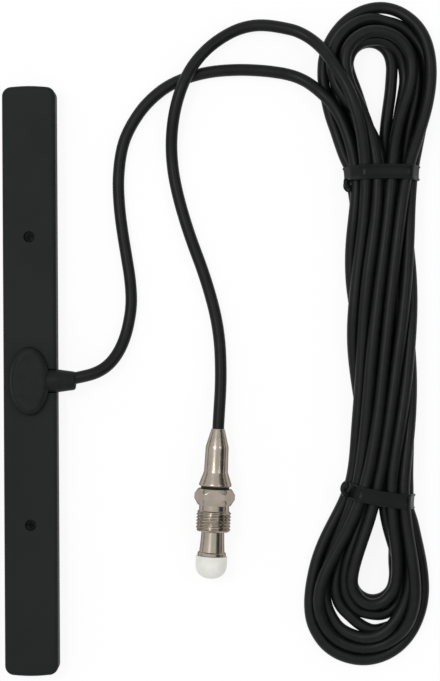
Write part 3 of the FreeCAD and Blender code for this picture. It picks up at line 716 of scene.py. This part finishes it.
# %% Spanner hexagon and thread
# The thread is an M8 with a pitch of 0.75 mm. It is drawn 0.28 mm deep, shallower than the usual
# 0.46 mm, since that is how softly its grooves show. One flat of the hexagon faces up.
HEX_START, HEX_END = 13.95, 17.75
HALF_FLATS = 4.1
HEX_BEVEL = ([HEX_START, 15.2, 16.3, HEX_END], [3.9, 4.74, 4.74, 3.85])
THREAD_START, THREAD_END = 19.05, 23.85
THREAD_RADIUS = 4.0
THREAD_DEPTH = 0.28
THREAD_PITCH = 0.75
THREAD_SHAPE = ([0, 0.28, 0.5, 0.72, 1], [0, 0, 1, 1, 0])
THREAD_BEVEL = ([THREAD_START, 19.4, 23.45, THREAD_END], [3.55, THREAD_RADIUS, THREAD_RADIUS, 3.6])
FLAT_STEP = math.pi / 3
HEX_INSET, HEX_RINGS = 0.02, 30
THREAD_INSET, THREAD_RINGS = 0.01, 76


def body_radius(station, radius, angle):
    """Radius of the connector body, with spanner flats and thread."""
    if HEX_START < station < HEX_END:
        off_flat = (angle - math.pi / 2 + FLAT_STEP / 2) % FLAT_STEP - FLAT_STEP / 2
        return min(radius, HALF_FLATS / math.cos(off_flat))
    if THREAD_START < station < THREAD_END:
        turn = (station / THREAD_PITCH - angle / (2 * math.pi)) % 1
        return min(radius, THREAD_RADIUS - THREAD_DEPTH * np.interp(turn, *THREAD_SHAPE))
    return radius


def bevelled(start, end, rings, bevel):
    """Stations and radii of a length whose ends are bevelled."""
    stations = np.linspace(start, end, rings)
    return [(station, float(np.interp(station, *bevel))) for station in stations]


hexagon = bevelled(HEX_START + HEX_INSET, HEX_END - HEX_INSET, HEX_RINGS, HEX_BEVEL)
thread = bevelled(
    THREAD_START + THREAD_INSET, THREAD_END - THREAD_INSET, THREAD_RINGS, THREAD_BEVEL
)
print(f"{len(hexagon)} rings in the hexagon, {len(thread)} in the thread")

# %% Body of the connector
# The profile goes along the outside from the spigot in the sleeve to the nose, and back along the
# bore. The faces of the groove get a second material slot, for the painted shade of the groove.
BEVEL = 0.12
SPIGOT_START, SLEEVE_END = 4.0, 13.35
SPIGOT, GROOVE, COLLAR = 2.1, 3.3, 3.5
RIM_START, RIM_END, RIM = 28.75, 29.6, 3.3
NOSE_END, NOSE = 33.2, 2.9
BORE_END, BORE, PIN_BORE = 15.6, 2.1, 0.85
GROOVE_ROW = 2
body_profile = [
    (SPIGOT_START, SPIGOT), (SLEEVE_END, SPIGOT), (SLEEVE_END, GROOVE), (13.93, GROOVE),
    *hexagon,
    (17.77, COLLAR), (18.95, COLLAR), (19.04, 3.55),
    *thread,
    (THREAD_END, 2.78), (23.98, 2.66), (26.4, 2.78), (28.65, 2.95),
    (RIM_START, 3.18), (RIM_START + BEVEL, RIM), (RIM_END - BEVEL, RIM), (RIM_END, RIM - BEVEL),
    (RIM_END, NOSE), (NOSE_END - BEVEL, NOSE), (NOSE_END, NOSE - BEVEL),
    (NOSE_END, BORE), (BORE_END, BORE), (BORE_END, PIN_BORE), (SPIGOT_START, PIN_BORE),
]
connector = new_piece(
    "turned_connector", turned_mesh("turned_connector", body_profile, body_radius),
    "nickel_plate", "connector_body",
)
# The groove's faces take the second slot, which holds the painted shade.
for face in connector.data.polygons[GROOVE_ROW * SIDES:(GROOVE_ROW + 1) * SIDES]:
    face.material_index = 1

# %% [markdown]
# ## Crimped sleeve
# A thin nickel-plated sleeve is crimped over the cable's braid. It widens from the jacket in a
# short cone, runs on almost straight, and ends in a trumpet foot against the groove. It is round
# all over, so the same rings serve with a plain radius.


# %% Sleeve with a trumpet foot
def plain_round(station, radius, angle):
    """Radius of a part that is simply round."""
    return radius


sleeve_profile = [
    (0.0, 1.42), (0.0, 1.48), (0.1, 1.56), (0.3, 1.62), (3.9, 2.58), (4.15, 2.64), (4.4, 2.67),
    (4.8, 2.68), (9.9, 2.78), (10.1, 2.81), (10.35, 2.9), (12.6, 3.68), (12.85, 3.76),
    (13.05, 3.8), (13.2, 3.76), (13.3, 3.68), (SLEEVE_END, 3.55), (SLEEVE_END, SPIGOT),
    (SPIGOT_START, SPIGOT), (SPIGOT_START, 1.4), (0.4, 1.4),
]
sleeve = new_piece(
    "crimped_sleeve", turned_mesh("crimped_sleeve", sleeve_profile, plain_round),
    "nickel_plate", "crimp_ferrule",
)

# %% [markdown]
# ## Finishes
# Colours are written as sRGB hex values, as a colour picker shows them, and turned to the linear
# values that the shaders need. One small function adds a node, sets it and links it. Nearly every
# finish here is the same idea: a colour that drifts between two close tones, and a fine grain that
# varies the sheen and gives a slight relief. Image textures could do that too, but patterns worked
# out from real sizes need no files and hold at any distance.


# %% Colour and node helpers
def linear(hex_colour):
    """Linear colour of an sRGB hex value."""
    parts = [int(hex_colour[i:i + 2], 16) / 255 for i in (1, 3, 5)]
    return (*[c / 12.92 if c <= 0.04045 else ((c + 0.055) / 1.055) ** 2.4 for c in parts], 1)


def add_node(tree, kind, settings, links):
    """Node with its settings, and with links from other sockets to its inputs."""
    node = tree.nodes.new(kind)
    for name, value in settings.items():
        if name in node.inputs:
            node.inputs[name].default_value = value
        else:
            setattr(node, name, value)
    for name, source in links.items():
        tree.links.new(source, node.inputs[name])
    return node


print("mid grey in linear light:", round(linear("#808080")[0], 3))

# %% Cloudy and grained surfaces
TONE_SPAN = (0.3, 0.7)
CLOUD_DETAIL = 3.0
GRAIN_DETAIL = 4.0


def cloudy(name, cloud, detail, tones, **sockets):
    """Material whose colour drifts between two tones in clouds of a size in millimetres.

    With it come its node tree, its shader, the place in the part and the cloud pattern.
    """
    material = bpy.data.materials.new(name)
    material.use_nodes = True
    tree = material.node_tree
    shader = tree.nodes["Principled BSDF"]
    for socket, value in sockets.items():
        shader.inputs[socket.replace("_", " ")].default_value = value
    place = add_node(tree, "ShaderNodeTexCoord", {}, {}).outputs["Object"]
    pattern = add_node(
        tree, "ShaderNodeTexNoise", {"Scale": 1 / (cloud * MM), "Detail": detail},
        {"Vector": place},
    ).outputs["Fac"]
    ramp = add_node(tree, "ShaderNodeValToRGB", {}, {"Fac": pattern})
    for element, hex_colour, at in zip(ramp.color_ramp.elements, tones, TONE_SPAN):
        element.color = linear(hex_colour)
        element.position = at
    tree.links.new(ramp.outputs["Color"], shader.inputs["Base Color"])
    return material, tree, shader, place, pattern


def finish_with(tree, shader, satin, sheen_pattern, relief, relief_pattern):
    """Let one pattern vary a shader's roughness and another give its relief."""
    sheen = add_node(
        tree, "ShaderNodeMapRange", {"To Min": satin[0], "To Max": satin[1]},
        {"Value": sheen_pattern},
    )
    tree.links.new(sheen.outputs["Result"], shader.inputs["Roughness"])
    bump = add_node(
        tree, "ShaderNodeBump", {"Strength": relief[0], "Distance": relief[1] * MM},
        {"Height": relief_pattern},
    )
    tree.links.new(bump.outputs["Normal"], shader.inputs["Normal"])


def grained(name, grain, cloud, tones, satin, relief, **sockets):
    """Material with a cloudy colour, and with a sheen and a relief that follow a fine grain."""
    material, tree, shader, place, _ = cloudy(name, cloud, CLOUD_DETAIL, tones, **sockets)
    fine = add_node(
        tree, "ShaderNodeTexNoise", {"Scale": 1 / (grain * MM), "Detail": GRAIN_DETAIL},
        {"Vector": place},
    ).outputs["Fac"]
    finish_with(tree, shader, satin, fine, relief, fine)
    print("finish:", name)
    return material


print(f"tones spread over {TONE_SPAN[1] - TONE_SPAN[0]:.0%} of a pattern")

# %% [markdown]
# ## Plastics of the strip, the cable and the ties
# All four are black, and what tells them apart is their sheen: the dry pebble of the moulded
# strip, the satin of the drawn jacket, the softer bloom of the grommet and the shine of the
# ribbon. So their tones differ by only a few steps, and roughness and grain do the rest.

# %% Black plastics
# Injection-moulded ABS from a spark-eroded mould: a dry, even black with a fine pebble that breaks
# up every reflection. The real pebble is about 0.1 mm; it is drawn at 0.45 mm so that it shows.
moulded_abs = grained(
    "moulded_ABS_spark_eroded", 0.45, 14, ("#1A1D1C", "#1E2120"), (0.46, 0.62), (0.25, 0.02),
    IOR=1.53, Specular_IOR_Level=0.08,
)
# Plasticised PVC drawn through a die: a smooth satin black with faint scuffs a few millimetres
# long.
extruded_pvc = grained(
    "extruded_PVC_jacket", 3.0, 2.0, ("#0D0E0E", "#131414"), (0.34, 0.52), (0.15, 0.03),
    IOR=1.53, Specular_IOR_Level=0.165,
)
# Soft PVC moulded round the cable: more matt than the jacket, with a greyer, uneven bloom.
moulded_pvc = grained(
    "moulded_PVC_grommet", 0.5, 2.2, ("#161918", "#1B1E1D"), (0.40, 0.52), (0.15, 0.02),
    IOR=1.53, Specular_IOR_Level=0.085,
)
# Vinyl ribbon drawn through a die: a clean black with a soft shine and hardly any grain.
ribbon_vinyl = grained(
    "drawn_vinyl_ribbon", 0.8, 5.0, ("#0C0E0E", "#121414"), (0.28, 0.40), (0.12, 0.02),
    IOR=1.53, Specular_IOR_Level=0.12,
)

# %% [markdown]
# ## Nickel on turned brass
# Sleeve and body are brass under bright nickel. Their look is almost all reflection, so the
# material is a metal with a faint tarnish, and the tool rings of the lathe run round the
# connector's own axis. Blender's wave texture gives such rings once its space is turned to that
# axis.

# %% Bright nickel
# Bright nickel over turned brass: a warm grey mirror whose fine tool rings stretch each reflection
# along the connector. Real tool rings are about 0.08 mm apart; they are drawn at 0.3 mm. The
# tarnish has patches of 2.5 mm. At a scale of 1, the wave texture repeats every 2 pi / 20.
TOOL_RING = 0.3 * MM
WAVE_UNIT = 2 * math.pi / 20
bright_nickel, tree, shader, place, tarnish = cloudy(
    "bright_nickel_on_turned_brass", 2.5, 5.0, ("#A69C90", "#B1A79B"),
    Metallic=1.0, Specular_Tint=linear("#8F8A84"),
)
swing = math.atan2(CONNECTOR_SIDE.y, CONNECTOR_SIDE.x)
axial = add_node(
    tree, "ShaderNodeMapping", {"vector_type": "TEXTURE", "Rotation": (0, 0, swing)},
    {"Vector": place},
)
tool_rings = add_node(
    tree, "ShaderNodeTexWave",
    {"bands_direction": "Y", "Scale": WAVE_UNIT / TOOL_RING, "Distortion": 1.5, "Detail": 2.0},
    {"Vector": axial.outputs["Vector"]},
)
finish_with(tree, shader, (0.20, 0.30), tarnish, (0.08, 0.01), tool_rings.outputs["Fac"])
print("finish:", bright_nickel.name)

# %% Painted shade in the groove
# The groove behind the sleeve is painted a matt brown-black on the nickel: painted shade for the
# narrow gap between sleeve and hexagon, which falls dark.
groove_painted_shade = grained(
    "painted_shade_in_groove", 0.3, 1.0, ("#15110E", "#2A241F"), (0.5, 0.7), (0.1, 0.01),
    Specular_IOR_Level=0.2,
)

# %% [markdown]
# ## Cap, fixings and what lies inside
# The white cap lets a little light in under its skin, which subsurface scattering shows. The
# pieces inside the strip and the connector are hidden, but they get plain finishes of their own,
# so that the part can be opened.

# %% Cap, screws and tape
# Low-density polythene, moulded: milky off-white, waxy, with a little light passing under the
# skin.
waxy_polythene = grained(
    "moulded_polythene_cap", 1.4, 1.4, ("#D5D5CE", "#DEDED8"), (0.38, 0.5), (0.12, 0.05),
    IOR=1.51, Subsurface_Weight=0.25, Subsurface_Radius=(1.0, 0.95, 0.85),
    Subsurface_Scale=0.8 * MM,
)
# Steel screws in black oxide: nearly matt, a little lighter where a driver has rubbed them.
blackened_steel = grained(
    "black_oxide_steel", 0.3, 1.1, ("#050706", "#1C1F1E"), (0.45, 0.65), (0.3, 0.02),
    Specular_IOR_Level=0.06,
)
# Acrylic foam tape: dark grey, fully matt, with open cells of about 0.3 mm.
foam_tape = grained(
    "acrylic_foam_tape", 0.3, 4.0, ("#2B2B2A", "#353534"), (0.85, 0.95), (0.5, 0.08)
)

# %% Board, wires and socket
# Glass-epoxy laminate: yellowish green, with the faint weave of the glass under a smooth skin of
# resin.
glass_epoxy = grained(
    "glass_epoxy_laminate", 0.6, 0.6, ("#5B6A3C", "#6B7A4A"), (0.3, 0.4), (0.1, 0.02)
)
# Etched copper foil: a salmon metal, dulled in patches by air and fingers.
copper_foil = grained(
    "etched_copper_foil", 0.4, 3.0, ("#A86A4C", "#C48363"), (0.28, 0.42), (0.1, 0.01),
    Metallic=1.0,
)
# Tin on copper strands and solder: a soft white metal with a slightly orange-peel surface.
bright_tin = grained(
    "tin_on_copper", 0.3, 1.0, ("#B2B3B1", "#C6C7C4"), (0.3, 0.45), (0.2, 0.02), Metallic=1.0
)
# Extruded polythene and turned PTFE insulators: clean white, slightly greasy.
white_insulator = grained(
    "white_insulator_plastic", 0.4, 2.0, ("#E2E2DC", "#ECECE8"), (0.35, 0.5), (0.1, 0.02)
)
# Gold flash on the bronze socket: warm yellow, bright on the turned faces.
gold_flash = grained(
    "gold_on_bronze", 0.2, 0.8, ("#C49C54", "#D4B06A"), (0.2, 0.3), (0.1, 0.01), Metallic=1.0
)

# %% Put the finishes on
NEW_FINISHES = {
    extruded_pvc: (cable,),
    ribbon_vinyl: (upper_ribbon, lower_ribbon, upper_twist, lower_twist),
    bright_nickel: (connector, sleeve),
    # The connector's second slot is the painted shade in its groove.
    groove_painted_shade: (connector,),
}
CAD_FINISHES = {
    moulded_abs: ("front_cover", "base_plate"),
    moulded_pvc: ("cable_grommet",),
    waxy_polythene: ("dust_cap",),
    extruded_pvc: ("antenna_lead", "cable_hank", "connector_lead"),
    ribbon_vinyl: ("upper_tie", "lower_tie"),
    bright_nickel: ("crimp_ferrule", "connector_body"),
    blackened_steel: ("cover_screws",),
    foam_tape: ("adhesive_pad",),
    glass_epoxy: ("antenna_board",),
    copper_foil: ("upper_dipole_arm", "lower_dipole_arm", "feed_wire"),
    bright_tin: ("braid_pigtail", "solder_joints"),
    white_insulator: ("cable_dielectric", "connector_insulator"),
    gold_flash: ("centre_socket",),
}
for finish, pieces in NEW_FINISHES.items():
    for piece in pieces:
        piece.data.materials.append(finish)
for finish, names in CAD_FINISHES.items():
    for name in names:
        for material_slot in nodes[name].material_slots:
            material_slot.material = finish
assert sorted(name for names in CAD_FINISHES.values() for name in names) == sorted(nodes)
print("finishes:", len(bpy.data.materials))

# %% [markdown]
# ## Table and light
# Product pictures of small dark parts are often taken on a white table under two soft boxes near
# the camera. The table's white comes from its own material where the camera or a mirror looks at
# it, and the rest of its surface is plain white paint, so that the part keeps a soft shadow.
# Stronger lamps would whiten the table too, but they would wash out the blacks.

# %% White table
TABLE_HALF = 1
GLOW_SHARE = 0.88
table_mesh = bpy.data.meshes.new("table")
table_corners = [
    (x * TABLE_HALF, y * TABLE_HALF, 0) for x, y in ((-1, -1), (1, -1), (1, 1), (-1, 1))
]
table_mesh.from_pydata(table_corners, [], [(0, 1, 2, 3)])
table = bpy.data.objects.new("table", table_mesh)
scene.collection.objects.link(table)
white_table = bpy.data.materials.new("white_painted_table")
white_table.use_nodes = True
tree = white_table.node_tree
tree.nodes.remove(tree.nodes["Principled BSDF"])
paint = add_node(tree, "ShaderNodeBsdfDiffuse", {"Color": linear("#F4F4F4")}, {})
glow = add_node(tree, "ShaderNodeEmission", {"Color": (1, 1, 1, 1), "Strength": 1.0}, {})
seen = add_node(tree, "ShaderNodeLightPath", {}, {})
mirrored = add_node(
    tree, "ShaderNodeMath", {"operation": "MAXIMUM"},
    {0: seen.outputs["Is Glossy Ray"], 1: seen.outputs["Is Transmission Ray"]},
)
directly = add_node(
    tree, "ShaderNodeMath", {"operation": "MAXIMUM"},
    {0: seen.outputs["Is Camera Ray"], 1: mirrored.outputs[0]},
)
share = add_node(
    tree, "ShaderNodeMath", {"operation": "MULTIPLY", "use_clamp": True}, {0: directly.outputs[0]}
)
share.inputs[1].default_value = GLOW_SHARE
mixed = add_node(
    tree, "ShaderNodeMixShader", {},
    {0: share.outputs[0], 1: paint.outputs[0], 2: glow.outputs[0]},
)
tree.links.new(mixed.outputs[0], tree.nodes["Material Output"].inputs["Surface"])
table_mesh.materials.append(white_table)
print(f"table {2 * TABLE_HALF} m wide, {GLOW_SHARE:.0%} of its white from itself")

# %% Soft boxes and the room
ROOM_LIGHT = 0.85
BOX_SIZE = 0.1
world = bpy.data.worlds.new("pale_room")
scene.world = world
world.use_nodes = True
room = world.node_tree.nodes["Background"]
room.inputs["Color"].default_value = (1, 1, 1, 1)
room.inputs["Strength"].default_value = ROOM_LIGHT


def soft_box(name, place, watts):
    """Square area lamp that looks at the middle of the view."""
    lamp = bpy.data.lights.new(name, "AREA")
    lamp.size = BOX_SIZE
    lamp.energy = watts
    holder = bpy.data.objects.new(name, lamp)
    holder.location = place
    aim = Vector((*VIEW_MIDDLE, 0)) - holder.location
    holder.rotation_euler = aim.to_track_quat("-Z", "Y").to_euler()
    scene.collection.objects.link(holder)
    print(f"{name}: {watts} W")


soft_box("left_soft_box", Vector((-0.15, 0.10, 0.45)), 0.6)
soft_box("right_soft_box", Vector((0.36, 0.10, 0.45)), 0.3)

# %% [markdown]
# ## Dark card over the connector
# Bright metal on a white table would reflect nothing but white. A dark card above and to the right
# of the connector, which only reflections see, draws the dark band along its right side that shows
# it to be round.

# %% Card that only mirrors see
CARD_DISTANCE = 0.5
CARD_HALF_LENGTH = 0.5
CARD_ROUGHNESS = 0.9


def reflector_card(name, lean, span, grey):
    """Card that leans from upright over the connector towards the right by an angle."""
    turn = Matrix.Rotation(lean, 4, "Y")
    half = CARD_DISTANCE * math.tan(span / 2)
    corners = [
        CONNECTOR_START * MM + turn @ Vector((x * half, y * CARD_HALF_LENGTH, CARD_DISTANCE))
        for x, y in ((-1, -1), (1, -1), (1, 1), (-1, 1))
    ]
    mesh = bpy.data.meshes.new(name)
    mesh.from_pydata(corners, [], [(0, 1, 2, 3)])
    card = bpy.data.objects.new(name, mesh)
    card.visible_camera = card.visible_diffuse = card.visible_shadow = False
    scene.collection.objects.link(card)
    board = bpy.data.materials.new(name)
    board.use_nodes = True
    paint = board.node_tree.nodes["Principled BSDF"]
    paint.inputs["Base Color"].default_value = linear(grey)
    paint.inputs["Roughness"].default_value = CARD_ROUGHNESS
    mesh.materials.append(board)
    print(f"{name}: leans {math.degrees(lean):.0f} degrees, spans {math.degrees(span):.0f}")


reflector_card("dark_card", math.radians(55), math.radians(42), "#0E0B08")

# %% [markdown]
# ## Last update
# The view layer is brought up to date, so that every object's place is current.

# %% Bring the view layer up to date
bpy.context.view_layer.update()
